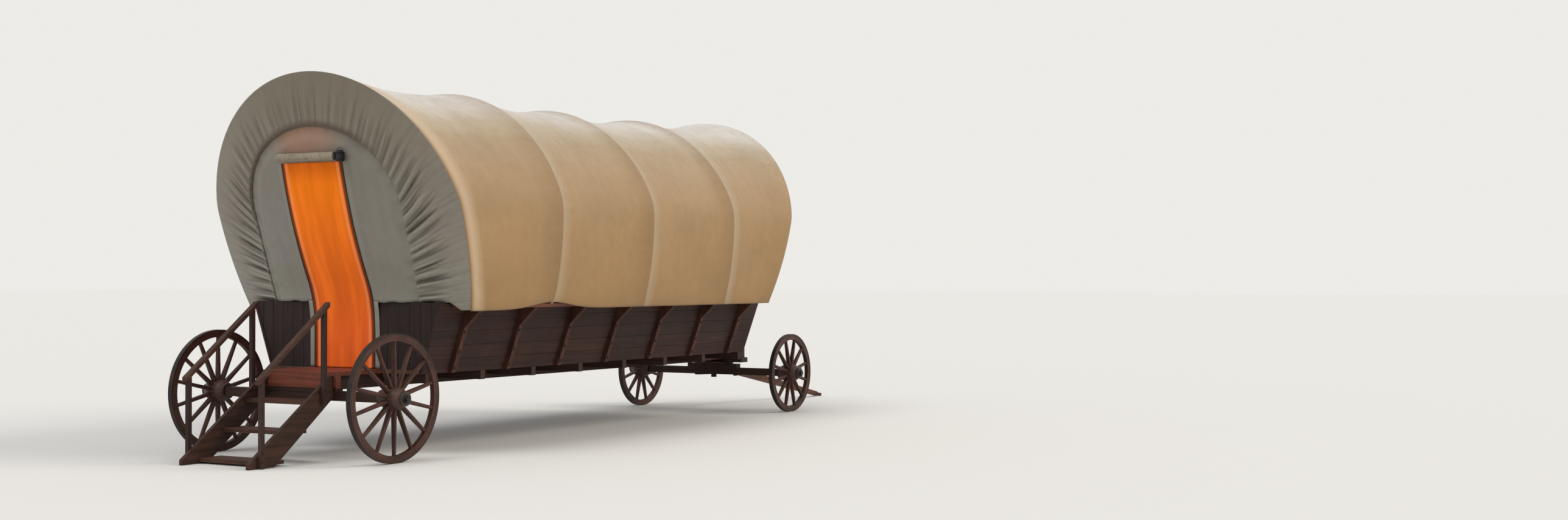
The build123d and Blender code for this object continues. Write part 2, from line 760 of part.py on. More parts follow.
def make_wheel(name, side, axle_y, radius, spoke_count):
    """Hub, spokes with their rim of felloes, and iron tyre of one wheel."""
    centre = Vector(side * track_half, axle_y, radius)
    axis = Axis(centre, (side, 0, 0))
    rim_out = radius - tyre_thick - fit_gap
    rim_in = rim_out - felloe_depth
    along = Plane(origin=centre, x_dir=(side, 0, 0), z_dir=(0, 1, 0))
    across = Plane(origin=centre, x_dir=(0, 1, 0), z_dir=(side, 0, 0))
    end = hub_length / 2
    barrel = hub_barrel / 2
    with BuildPart() as hub:
        with BuildSketch(along):
            with BuildLine():
                Line((-end, 0), (-end, hub_neck_r))
                Line((-end, hub_neck_r), (-end + hub_band, hub_neck_r))
                ThreePointArc(
                    (-end + hub_band, hub_neck_r),
                    (-(end - hub_band + barrel) / 2 - hub_swell, (hub_neck_r + hub_r) / 2 + hub_swell),
                    (-barrel, hub_r),
                )
                Line((-barrel, hub_r), (barrel, hub_r))
                ThreePointArc(
                    (barrel, hub_r),
                    ((end - hub_band + barrel) / 2 + hub_swell, (hub_neck_r + hub_r) / 2),
                    (end - hub_band, hub_neck_r - hub_nose),
                )
                Line((end - hub_band, hub_neck_r - hub_nose), (end, hub_neck_r - hub_nose))
                Line((end, hub_neck_r - hub_nose), (end, 0))
                Line((end, 0), (-end, 0))
            make_face()
        revolve(axis=axis)
        with BuildSketch(across.offset(-end)):
            Circle(axle_r + axle_fit)
        extrude(amount=hub_length - hub_cap, mode=Mode.SUBTRACT)
    save(hub.part, f"{name}_hub")

    with BuildPart() as wood:
        with BuildSketch(across):
            Circle(rim_out)
            Circle(rim_in, mode=Mode.SUBTRACT)
        extrude(amount=felloe_width / 2, both=True)
        for i in range(spoke_count):
            turn = radians(360 * (i + 0.5) / spoke_count)
            ray = Vector(0, cos(turn), sin(turn))
            root = Plane(origin=centre + ray * (hub_r - spoke_in), x_dir=(1, 0, 0), z_dir=ray)
            tip = root.offset(rim_in + spoke_out - hub_r + spoke_in)
            loft([root * octagon(*spoke_root), tip * octagon(*spoke_tip)])
        with BuildSketch(across):
            Circle(hub_r + fit_gap)
        extrude(amount=hub_length, both=True, mode=Mode.SUBTRACT)
    save(wood.part, f"{name}_spokes")

    with BuildPart() as tyre:
        with BuildSketch(across):
            Circle(radius)
            Circle(radius - tyre_thick, mode=Mode.SUBTRACT)
        extrude(amount=tyre_width / 2, both=True)
    save(tyre.part, f"{name}_tyre")


# Wheels: name, side, axle place, radius, spokes
wheel_table = (
    ("porch_wheel_left", -1, big_axle_y, big_wheel_r, big_spokes),
    ("porch_wheel_right", 1, big_axle_y, big_wheel_r, big_spokes),
    ("towing_wheel_left", -1, kingpin_y, small_wheel_r, small_spokes),
    ("towing_wheel_right", 1, kingpin_y, small_wheel_r, small_spokes),
)
for row in wheel_table:
    make_wheel(*row)
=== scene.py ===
# Covered wagon: canvas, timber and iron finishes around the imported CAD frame.
import json
import math

import bmesh
import bpy
import numpy as np
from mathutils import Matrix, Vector


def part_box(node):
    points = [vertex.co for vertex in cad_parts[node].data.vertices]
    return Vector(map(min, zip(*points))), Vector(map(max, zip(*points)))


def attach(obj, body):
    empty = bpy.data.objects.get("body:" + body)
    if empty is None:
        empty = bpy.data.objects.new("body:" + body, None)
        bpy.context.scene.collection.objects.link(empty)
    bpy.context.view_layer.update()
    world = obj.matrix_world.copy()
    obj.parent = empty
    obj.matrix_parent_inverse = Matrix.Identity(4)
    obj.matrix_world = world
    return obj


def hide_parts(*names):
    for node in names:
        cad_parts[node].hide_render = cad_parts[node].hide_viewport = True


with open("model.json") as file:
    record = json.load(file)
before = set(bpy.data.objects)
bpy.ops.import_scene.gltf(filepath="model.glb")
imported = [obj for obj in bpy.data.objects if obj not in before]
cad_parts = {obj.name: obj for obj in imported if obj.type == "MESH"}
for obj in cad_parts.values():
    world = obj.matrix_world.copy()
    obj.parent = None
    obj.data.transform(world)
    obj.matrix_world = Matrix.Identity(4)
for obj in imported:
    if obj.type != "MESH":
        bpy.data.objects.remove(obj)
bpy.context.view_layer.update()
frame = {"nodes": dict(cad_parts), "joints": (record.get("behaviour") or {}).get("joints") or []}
nodes = frame["nodes"]
joints = {joint["name"]: joint for joint in frame["joints"]}

# Places read off the frame, in metres
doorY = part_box("side_wall_right")[0].y
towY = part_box("side_wall_right")[1].y
boxLength = towY - doorY
hubPlace = {name: joints[f"{name}_spin"]["pos_m"] for name in (
    "porch_wheel_left", "porch_wheel_right", "towing_wheel_left", "towing_wheel_right")}

# The cover in metres, as the frame has it; hoops: foot from the door end, top height, lean in degrees
cover = {
    "hoops": ((0.17, 3.745, 17.6), (1.46, 3.695, 0.0), (3.11, 3.645, 0.0), (4.79, 3.655, 0.0),
              (boxLength - 0.17, 3.740, -17.6)),
    "hemZ": 1.430, "wideZ": 2.400, "footHalf": 1.470, "wideHalf": 1.610, "shoulder": 0.5,
    "sag": 0.080, "sideSag": 0.064, "thick": 0.003, "around": 280, "perBay": 42,
    "bay": 1.6, "pucker": 0.004, "puckerFrom": 0.03, "puckerFade": 0.22, "ripple": 0.006, "flat": 0.05,
    "hemShare": 0.06, "hemDrop": 0.012, "lift": 0.070, "liftPlace": 1.46, "liftWide": 0.42,
    "hollowDeep": 0.01, "hollowShade": 0.16, "hemShade": 0.22,
}


class Wire:  # a shader socket that can be reckoned with
    def __init__(self, tree, socket):
        self.tree = tree
        self.socket = socket

    def node(self, kind, settings, inputs, output=0):  # any node: settings first, then values or links
        made = self.tree.nodes.new(kind)
        for name, value in settings.items():
            if name == "stops":
                fillRamp(made.color_ramp, value)
            else:
                setattr(made, name, value)
        for name, value in inputs.items():
            if isinstance(value, Wire):
                self.tree.links.new(value.socket, made.inputs[name])
            else:
                made.inputs[name].default_value = value
        return Wire(self.tree, made.outputs[output])

    def math(self, operation, a, b=0.0, clamp=False):
        return self.node("ShaderNodeMath", {"operation": operation, "use_clamp": clamp}, {0: a, 1: b})

    def __add__(self, other):
        return self.math("ADD", self, other)

    def __sub__(self, other):
        return self.math("SUBTRACT", self, other)

    def __rsub__(self, other):
        return self.math("SUBTRACT", other, self)

    def __mul__(self, other):
        return self.math("MULTIPLY", self, other)

    __radd__ = __add__

    def __truediv__(self, other):
        return self.math("DIVIDE", self, other)

    def above(self, edge, soft):  # 0 below the edge, 1 above it, over a soft width
        return self.math("DIVIDE", self - (edge - soft / 2), soft, True)

    def axis(self, letter):  # one coordinate of a vector
        return self.node("ShaderNodeSeparateXYZ", {}, {0: self}, "XYZ".index(letter))

    def join(self, x, y, z):  # a vector of three numbers
        return self.node("ShaderNodeCombineXYZ", {}, {"X": x, "Y": y, "Z": z})

    def stretch(self, scale):
        return self.node("ShaderNodeMapping", {}, {"Vector": self, "Scale": scale})

    def noise(self, scale, detail=3.0, rough=0.55):
        return self.node("ShaderNodeTexNoise", {}, {"Vector": self, "Scale": scale, "Detail": detail,
                                                    "Roughness": rough})

    def colours(self, stops):  # a number turned into a colour
        return self.node("ShaderNodeValToRGB", {"stops": stops}, {0: self})

    def mix(self, a, b):  # colour a where this is 0, b where it is 1
        return self.node("ShaderNodeMix", {"data_type": "RGBA"}, {0: self, 6: a, 7: b}, 2)

    def bump(self, height, distance, strength):
        return self.node("ShaderNodeBump", {},
                         {"Height": height, "Distance": distance, "Strength": strength})


def fillRamp(ramp, stops):
    while len(ramp.elements) < len(stops):
        ramp.elements.new(0.5)
    for element, (place, colour) in zip(ramp.elements, stops):
        element.position = place
        element.color = colour


def rgb(*seen):  # a colour as seen, 0 to 255, made linear
    return tuple(((c / 255 + 0.055) / 1.055) ** 2.4 if c > 10 else c / 3294 for c in seen) + (1.0,)


def dim(colour, share):  # the same colour, darker
    return tuple(c * share for c in colour[:3]) + (1.0,)


def finish(name, paint, **fixed):  # paint(where, uv, put) links what varies, fixed values stay the same
    material = bpy.data.materials.new(name)
    material.use_nodes = True
    tree = material.node_tree
    shader = tree.nodes["Principled BSDF"]
    for socket, value in fixed.items():
        shader.inputs[socket.replace("_", " ")].default_value = value
    coordinates = tree.nodes.new("ShaderNodeTexCoord")

    def put(**links):
        for socket, wire in links.items():
            tree.links.new(wire.socket, shader.inputs[socket.replace("_", " ")])

    paint(Wire(tree, coordinates.outputs["Object"]), Wire(tree, coordinates.outputs["UV"]), put)
    return material


# Timber: noise drawn out along the grain, each board shifted and darkened by its own random number, dirt
# from broad noise and pale scuffs where fine streaks meet it
def timber(name, dark, light, grain, boards=None, wear=0.35):
    # grain is the axis letter that the fibres follow; boards is (axis letter, pitch, offset)
    acrossGrain, alongShare = 26.0, 0.045
    scale = [acrossGrain, acrossGrain, acrossGrain]
    scale["XYZ".index(grain)] = acrossGrain * alongShare

    def paint(where, uv, put):
        shift = where
        if boards:
            letter, pitch, offset = boards
            board = where.math("FLOOR", (where.axis(letter) + offset) / pitch)
            pick = where.node("ShaderNodeTexWhiteNoise", {"noise_dimensions": "1D"}, {"W": board})
            away = where.join(pick * 7.0, pick * 5.0, pick * 3.0)
            shift = where.node("ShaderNodeVectorMath", {"operation": "ADD"}, {0: where, 1: away})
        fibres = shift.stretch(scale).noise(1.0, 6.0, 0.68)
        streaks = shift.stretch([s * 5.0 for s in scale]).noise(1.0, 3.0, 0.6)
        dirt = where.noise(1.7, 4.0, 0.6)
        middle = tuple((a + b) / 2 for a, b in zip(dark, light))
        tone = fibres.colours(((0.30, dark), (0.52, middle), (0.72, light)))
        if boards:
            tone = (pick * 0.42).mix(tone, dark)
        tone = (dirt.above(0.56, 0.18) * wear).mix(tone, dim(dark, 0.45))
        scuffs = (streaks.above(0.60, 0.10) * dirt.above(0.46, 0.2)) * wear
        tone = scuffs.mix(tone, light)
        height = fibres * 0.6 + streaks * 0.4
        put(Base_Color=tone, Roughness=0.62 + (fibres - 0.5) * 0.25, Normal=where.bump(height, 0.003, 0.8))

    return finish(name, paint, Specular_IOR_Level=0.22)


# Wheel timber: noise over angle and radius about the hub, so the grain runs out along the spokes and
# round the rim, with a dark joint between felloes where the turn times their number passes a half
def wheelTimber(name, centre, felloes):
    dark, light, gapColour = rgb(44, 25, 21), rgb(92, 57, 45), rgb(18, 13, 12)
    rimDeep = 0.072

    def paint(where, uv, put):
        across = where.axis("X") * 55.0
        y = where.axis("Y") - centre[1]
        z = where.axis("Z") - centre[2]
        radius = where.math("SQRT", y * y + z * z)
        angle = where.math("ARCTAN2", z, y)
        onRim = radius.above(centre[2] - rimDeep, 0.002)
        turn = angle * (felloes / (2 * math.pi)) + 0.25
        gap = where.math("ABSOLUTE", where.math("FRACT", turn) - 0.5)
        joint = (1.0 - gap.above(0.005, 0.004)) * onRim
        outward, around = [where.join(angle * perTurn, radius * perMetre, across)
                           for perTurn, perMetre in ((26.0, 2.2), (1.6, 60.0))]
        fibres = onRim.mix(outward.noise(1.0, 5.0, 0.65), around.noise(1.0, 5.0, 0.65))
        dirt = where.noise(5.0, 4.0, 0.6)
        tone = fibres.colours(((0.32, dark), (0.70, light)))
        tone = (dirt.above(0.55, 0.2) * 0.5).mix(tone, dim(dark, 0.5))
        tone = (joint * 0.8).mix(tone, gapColour)
        put(Base_Color=tone, Roughness=0.55 + (dirt - 0.5) * 0.3,
            Normal=where.bump(fibres - joint * 2.0, 0.002, 0.7))

    return finish(name, paint, Specular_IOR_Level=0.25)


# Hub: turned wood with two iron bands, told apart by the distance from the hub's middle along X
def hubTimber(name, dark, light, iron):
    middle = abs(hubPlace["porch_wheel_left"][0])
    bandFrom, bandTo, endFrom = 0.046, 0.072, 0.118  # metres from the hub's middle
    soft = 0.002

    def paint(where, uv, put):
        out = where.math("ABSOLUTE", where.math("ABSOLUTE", where.axis("X")) - middle)
        band = out.above(endFrom, soft) + (out.above(bandFrom, soft) - out.above(bandTo, soft))
        fibres = where.stretch((6.0, 90.0, 90.0)).noise(1.0, 4.0, 0.6)
        tone = fibres.colours(((0.3, dark), (0.72, light)))
        rust = where.noise(60.0, 4.0, 0.7)
        metal = rust.colours(((0.42, iron), (0.68, rgb(74, 50, 36))))
        put(Base_Color=band.mix(tone, metal), Roughness=0.6 - band * 0.12,
            Normal=where.bump(fibres * 0.5 + band * 1.2, 0.002, 0.8))

    return finish(name, paint)


# Iron: dark metal with broad rusty patches and fine pale grit
def ironwork(name, colour):
    def paint(where, uv, put):
        grit = where.noise(70.0, 5.0, 0.7)
        patches = where.noise(6.0, 4.0, 0.6)
        tone = patches.colours(((0.44, colour), (0.66, rgb(66, 44, 32))))
        tone = (grit.above(0.6, 0.1) * 0.35).mix(tone, rgb(92, 84, 78))
        put(Base_Color=tone, Roughness=0.48 + patches * 0.25, Normal=where.bump(grit, 0.0012, 0.7))

    return finish(name, paint, Metallic=0.55)


# Canvas: a colour ramp over the height, stained by noise where it passes an edge; at each hoop line a pale
# strip of painted light after it, a dull strip of painted shade before it and a thin painted shadow line on
# it; the numbers on the mesh add painted shade and highlight in folds, the hem and painted lamp glow; weave
# is the product of two sines over UV, which is in metres
def canvasCloth(name, tones, stainAndShade, grain, seams=(), rim=None, streak=0.20):
    # tones: colours by height; grain: stretch of the weather streaks over UV; seams: places along V where
    # a hoop lies under the cloth; rim: place of the first hoop, with the colours of the painted highlight
    # on its crest and the painted shade at its edge
    shadedCasingColour, lampColour = rgb(86, 70, 57), rgb(166, 122, 98)

    def paint(where, uv, put):
        low, high = tones[0][0], tones[-1][0]
        wander = (where.noise(0.9, 3.0) - 0.5) * 0.25
        level = (where.axis("Z") + wander - low) / (high - low)
        tone = level.colours([((z - low) / (high - low), colour) for z, colour in tones])
        blotch = where.noise(1.3, 5.0, 0.62)
        mottle = where.noise(9.0, 4.0, 0.6)
        runs = uv.stretch(grain).noise(1.0, 5.0, 0.62)
        tone = (blotch.above(0.58, 0.3) * 0.22).mix(tone, stainAndShade)
        tone = (mottle.above(0.56, 0.25) * 0.14).mix(tone, stainAndShade)
        tone = (runs.above(0.57, 0.22) * streak).mix(tone, stainAndShade)
        along = uv.axis("Y")
        hoopShadowLines = 0.0
        # Painted light after each hoop, painted shade before it and a thin painted shadow line on it; the
        # lines also bump
        for seam in seams:
            after = along - seam
            pale = after.above(0.010, 0.030) - after.above(0.110, 0.160)
            dull = after.above(-0.160, 0.240) - after.above(-0.006, 0.016)
            hoopShadowLine = after.above(-0.012, 0.010) - after.above(0.006, 0.012)
            tone = (pale * 0.40).mix(tone, tones[4][1])
            tone = (dull * 0.36).mix(tone, stainAndShade)
            tone = (hoopShadowLine * 0.22).mix(tone, dim(stainAndShade, 0.5))
            hoopShadowLines = hoopShadowLine + hoopShadowLines
        # The first hoop: a pale strip of painted highlight on its crest, and painted shade at the edge
        # towards the band
        if rim:
            edge, pale, dark = rim
            strip = along.above(edge + 0.045, 0.06) - along.above(edge + 0.17, 0.13)
            tone = (strip * 0.75).mix(tone, pale)
            tone = ((1.0 - along.above(edge + 0.020, 0.05)) * 0.55).mix(tone, dark)
        fold, hem, warm = [where.node("ShaderNodeAttribute", {"attribute_name": label}, {}, 2)
                           for label in ("fold", "hem", "warm")]
        # Painted shade in hollows and gathers, painted highlight on crests
        tone = fold.math("MULTIPLY", fold, 0.74, True).mix(tone, dim(stainAndShade, 0.24))
        tone = fold.math("MULTIPLY", fold, -0.60, True).mix(tone, tones[0][1])
        # The brown casing along the drawn edge, darkened as painted shadow
        tone = hem.mix(tone, shadedCasingColour)
        # Painted lamp glow, mottled
        tone = (warm * (0.45 + mottle * 0.7)).mix(tone, lampColour)
        weave = where.math("SINE", uv.axis("X") * 3100.0) * where.math("SINE", along * 3100.0)
        height = where.noise(16.0, 4.0, 0.55) + weave * 0.03 - runs * 0.5 + hoopShadowLines * 0.4
        put(Base_Color=tone, Roughness=0.85 - blotch * 0.08, Normal=where.bump(height, 0.006, 0.5))

    return finish(name, paint, Sheen_Weight=0.15, Sheen_Roughness=0.5, Specular_IOR_Level=0.25)


# Lamp-lit orange cloth: colour by height, with painted shadow under the blind roll at the top, creases from
# noise drawn out downwards and lighter as painted lamp light, dark sewn edges of zip tape darkened further
# as painted shadow, and a pale streak inside them by the distance from the middle; all but the edges glows
# orange as painted lamp light from within, brighter along the creases
def doorCloth(name):
    foot, head, shade = rgb(218, 90, 42), rgb(234, 120, 16), rgb(176, 72, 22)
    creaseGlowColour, streakColour, edgeTapeShadowColour = rgb(238, 128, 52), rgb(238, 150, 104), rgb(104, 50, 26)
    streakFrom, streakTo, edgeFrom = 0.318, 0.350, 0.362  # metres from the middle

    def paint(where, uv, put):
        height = where.axis("Z")
        off = where.math("ABSOLUTE", where.axis("X"))
        crease = where.stretch((9.0, 2.0, 0.9)).noise(1.0, 4.0, 0.6)
        tone = height.above(1.9, 1.6).mix(foot, head)
        # Creases lighter, as painted lamp light through the cloth
        tone = (crease.above(0.60, 0.14) * 0.30).mix(tone, creaseGlowColour)
        # Painted shadow under the blind roll across the top of the flap
        tone = (height.above(2.76, 0.2) * 0.5).mix(tone, shade)
        streak = off.above(streakFrom, 0.020) - off.above(streakTo, 0.016)
        tone = (streak * 0.62).mix(tone, streakColour)
        # Dark sewn edges: zip tape, darkened further as painted shadow
        edge = off.above(edgeFrom, 0.014)
        tone = (edge * 0.85).mix(tone, edgeTapeShadowColour)
        # All but the edges glows: painted lamp light from within, brighter along the creases
        glowAmount = (1.0 - edge) * (0.4 + crease.above(0.55, 0.3) * 0.5)
        glow = glowAmount.mix((0.0, 0.0, 0.0, 1.0), rgb(244, 112, 14))
        weave = uv.stretch((700.0, 700.0, 1.0)).noise(1.0, 2.0)
        put(Base_Color=tone, Emission_Color=glow, Normal=where.bump(crease + weave * 0.15, 0.006, 0.6))

    return finish(name, paint, Roughness=0.8, Emission_Strength=0.32, Specular_IOR_Level=0.1)


# Plain tape and blind cloth: mottled by noise, ribbed by a sine over the height
def plainCloth(name, colour, shade):
    def paint(where, uv, put):
        mottle = where.noise(22.0, 4.0, 0.6)
        ribs = where.math("SINE", where.axis("Z") * 900.0)
        put(Base_Color=mottle.colours(((0.35, shade), (0.65, colour))),
            Normal=where.bump(mottle + ribs * 0.2, 0.002, 0.6))

    return finish(name, paint, Roughness=0.8)


# Black enamel: near black with small paler specks
def blackMetal(name):
    def paint(where, uv, put):
        specks = where.noise(90.0, 4.0, 0.6)
        put(Base_Color=specks.colours(((0.45, rgb(20, 19, 20)), (0.7, rgb(44, 41, 40)))),
            Roughness=0.36 + specks * 0.15, Normal=where.bump(specks, 0.0006, 0.5))

    return finish(name, paint, Metallic=0.3)


# Wood colours as dark and light
box, beam = (rgb(33, 20, 17), rgb(72, 46, 37)), (rgb(36, 22, 18), rgb(74, 50, 40))
# Canvas colours by height: the cover turns pale towards its top as painted light from above; the bands and
# inner canvases of the ends turn darker upwards as painted shade under the crown
coverTones = ((1.45, rgb(160, 126, 82)), (2.2, rgb(168, 135, 94)), (2.8, rgb(171, 142, 106)),
              (3.15, rgb(172, 150, 119)), (3.33, rgb(186, 171, 146)), (3.50, rgb(208, 200, 188)),
              (3.80, rgb(218, 214, 208)))
bandTones = ((1.5, rgb(153, 148, 136)), (2.3, rgb(147, 140, 129)), (3.0, rgb(135, 127, 112)),
             (3.7, rgb(121, 112, 96)))
innerTones = ((1.5, rgb(147, 143, 131)), (2.4, rgb(137, 132, 122)), (3.3, rgb(130, 123, 110)))
hoopPlaces = [hoop[0] for hoop in cover["hoops"]]
finishes = {
    "wall": timber("wallBoards", *box, "Y", ("Z", 0.132, -0.800)),
    "endWall": timber("endBoards", rgb(28, 19, 19), rgb(62, 45, 41), "Z", ("X", 0.140, 0.070)),
    "ribs": timber("ribTimber", rgb(44, 25, 20), rgb(92, 56, 42), "Z"),
    "ledge": timber("ledgeTimber", rgb(68, 35, 26), rgb(122, 72, 50), "Y"),
    "frameY": timber("sillTimber", *beam, "Y"),
    "frameX": timber("beamTimber", *beam, "X"),
    "floor": timber("floorTimber", rgb(62, 42, 30), rgb(120, 86, 60), "Y", ("X", 0.138, 0.0)),
    "porch": timber("porchTimber", rgb(88, 44, 32), rgb(150, 84, 62), "X", ("Y", 0.124, -doorY)),
    "stairs": timber("stringerTimber", rgb(38, 24, 19), rgb(80, 54, 41), "Y", wear=0.5),
    "treads": timber("treadTimber", rgb(45, 28, 22), rgb(100, 68, 52), "X", wear=0.6),
    "posts": timber("postTimber", rgb(32, 22, 19), rgb(72, 52, 44), "Z", wear=0.5),
    "rails": timber("railTimber", rgb(43, 27, 21), rgb(92, 62, 48), "Y", wear=0.45),
    "bows": timber("bowTimber", rgb(132, 98, 62), rgb(182, 142, 98), "X"),
    "drawbar": timber("drawbarTimber", rgb(58, 34, 25), rgb(112, 74, 54), "Y"),
    "iron": ironwork("iron", rgb(36, 33, 32)),
    "hub": hubTimber("hubTimber", rgb(50, 27, 22), rgb(96, 57, 44), rgb(34, 31, 30)),
    "bigWheel": wheelTimber("bigWheelTimber", hubPlace["porch_wheel_left"], 7),
    "smallWheel": wheelTimber("smallWheelTimber", hubPlace["towing_wheel_left"], 6),
    "cover": canvasCloth("coverCanvas", coverTones, rgb(132, 102, 68), (0.55, 9.0, 1.0), hoopPlaces[1:-1],
                         (hoopPlaces[0], rgb(198, 172, 140), rgb(118, 98, 76)), streak=0.10),
    "ends": canvasCloth("endCanvas", bandTones, rgb(112, 101, 86), (16.0, 0.55, 1.0), streak=0.45),
    "inner": canvasCloth("innerCanvas", innerTones, rgb(108, 107, 94), (7.0, 0.6, 1.0)),
    "door": doorCloth("doorCloth"),
    "piping": plainCloth("pipingTape", rgb(42, 34, 32), rgb(22, 18, 18)),
    "blind": plainCloth("blindCloth", rgb(158, 146, 126), rgb(132, 121, 102)),
    "black": blackMetal("lanternMetal"),
}

finishOf = {
    "main_sills": "frameY", "cross_bearers": "frameX", "floor_boards": "floor", "side_wall_left": "wall",
    "side_wall_right": "wall", "side_ribs_left": "ribs", "side_ribs_right": "ribs",
    "hoop_ledge_left": "ledge", "hoop_ledge_right": "ledge", "door_end_wall": "endWall",
    "towing_end_wall": "endWall", "cover_bows": "bows", "porch_boards": "porch", "porch_beam": "porch",
    "stair_stringers": "stairs", "stair_treads": "treads", "stair_posts": "posts", "handrails": "rails",
    "fixed_axle": "frameX", "towing_bolster": "frameX", "reach_pole": "frameY", "steered_axle": "frameX",
    "hounds": "iron", "drawbar": "drawbar", "door_piping": "piping", "door_lantern": "black",
    "door_blind_roll": "blind",
}
for wheel in hubPlace:
    finishOf[f"{wheel}_hub"] = "hub"
    finishOf[f"{wheel}_spokes"] = "bigWheel" if wheel.startswith("porch") else "smallWheel"
    finishOf[f"{wheel}_tyre"] = "iron"
for node, look in finishOf.items():
    nodes[node].data.materials.clear()
    nodes[node].data.materials.append(finishes[look])
print("finishes set on", len(finishOf), "nodes")


# Grid of points (rows, columns, 3) to a mesh; uv in metres; keep marks the cells that stay; shades are
# numbers per point: the fold number is painted shade in hollows and gathers and a painted highlight on
# crests, and also lightens the tape beside the door; hem is the brown sewn edge with painted shadow on it;
# the warm number is painted lamp light
def gridMesh(name, points, uv, flip=False, keep=None, **shades):
    rows, columns = points.shape[:2]
    index = np.arange(rows * columns).reshape(rows, columns)
    corners = index[:-1, :-1], index[:-1, 1:], index[1:, 1:], index[1:, :-1]
    quads = np.stack(corners, axis=-1).reshape(-1, 4)
    if keep is not None:
        quads = quads[keep.ravel()]
    if flip:
        quads = quads[:, ::-1]
    used, corner = np.unique(quads, return_inverse=True)
    corner = corner.ravel()
    mesh = bpy.data.meshes.new(name)
    mesh.from_pydata(points.reshape(-1, 3)[used], [], corner.reshape(-1, 4))
    layer = mesh.uv_layers.new(name="cloth")
    layer.data.foreach_set("uv", uv.reshape(-1, 2)[used][corner].astype(np.float32).ravel())
    for label in ("fold", "hem", "warm"):
        values = np.broadcast_to(shades.get(label, 0.0), (rows, columns)).ravel()[used]
        mesh.attributes.new(label, "FLOAT", "POINT").data.foreach_set("value", values.astype(np.float32))
    mesh.polygons.foreach_set("use_smooth", np.ones(len(mesh.polygons), bool))
    piece = bpy.data.objects.new(name, mesh)
    bpy.context.scene.collection.objects.link(piece)
    return piece


# A sheet gets its thickness and finish, rides on the wagon and stands for the named nodes
def hang(piece, thick, look, slot, *stoodFor, offset=-1.0):
    solid = piece.modifiers.new("thickness", "SOLIDIFY")
    solid.thickness = thick
    solid.offset = offset
    piece.data.materials.append(finishes[look])
    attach(piece, "wagon")
    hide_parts(*stoodFor)


# A smooth random ripple: a few sines with seeded directions and phases
def ripple(a, b, waves, seed):
    draw = np.random.default_rng(seed)
    total = np.zeros(np.broadcast(a, b).shape)
    for perA, perB in waves:
        phase = draw.uniform(0, 2 * np.pi)
        total = total + np.sin(2 * np.pi * (a * perA + b * perB) + phase)
    return total / len(waves)


# Horseshoe by arc length: crown arc, shoulder arc and side arc, u from -1 (left foot) to 1 (right foot);
# gives the place across, the height along the leaning plane and the arc length
def horseshoe(u, footHalf, wideHalf, top, lean, shoulder):
    up = 1 / np.cos(lean)
    belly = (cover["wideZ"] - cover["hemZ"]) * up
    rise = (top - cover["wideZ"]) * up
    bulge = wideHalf - footHalf
    side = (bulge ** 2 + belly ** 2) / (2 * bulge)
    crown = ((wideHalf - shoulder) ** 2 + rise ** 2 - shoulder ** 2) / (2 * (rise - shoulder))
    crownZ = belly + rise - crown
    crownTurn = np.arctan2(wideHalf - shoulder, belly - crownZ)
    crownLength = crown * crownTurn
    shoulderLength = shoulder * (np.pi / 2 - crownTurn)
    sideLength = side * np.arcsin(belly / side)
    s = np.abs(u) * (crownLength + shoulderLength + sideLength)
    a = s / crown
    b = crownTurn + (s - crownLength) / shoulder
    c = (s - crownLength - shoulderLength) / side
    onCrown, aboveSide = s < crownLength, s < crownLength + shoulderLength
    x = np.where(aboveSide, wideHalf - shoulder + shoulder * np.sin(b), wideHalf - side + side * np.cos(c))
    h = np.where(aboveSide, belly + shoulder * np.cos(b), belly - side * np.sin(c))
    x = np.where(onCrown, crown * np.sin(a), x)
    h = np.where(onCrown, crownZ + crown * np.cos(a), h)
    return np.sign(u) * x, h, s * np.sign(u)


def stand(x, h, footY, lean):  # a point of a leaning plane, in the wagon's frame
    return np.stack(np.broadcast_arrays(x, doorY + footY - h * np.sin(lean),
                                        cover["hemZ"] + h * np.cos(lean)), axis=-1)


# Surface normals of a grid by central differences
def gridNormals(points):
    along = np.gradient(points, axis=0)
    across = np.gradient(points, axis=1)
    normal = np.cross(across, along)
    return normal / np.maximum(np.linalg.norm(normal, axis=-1, keepdims=True), 1e-9)


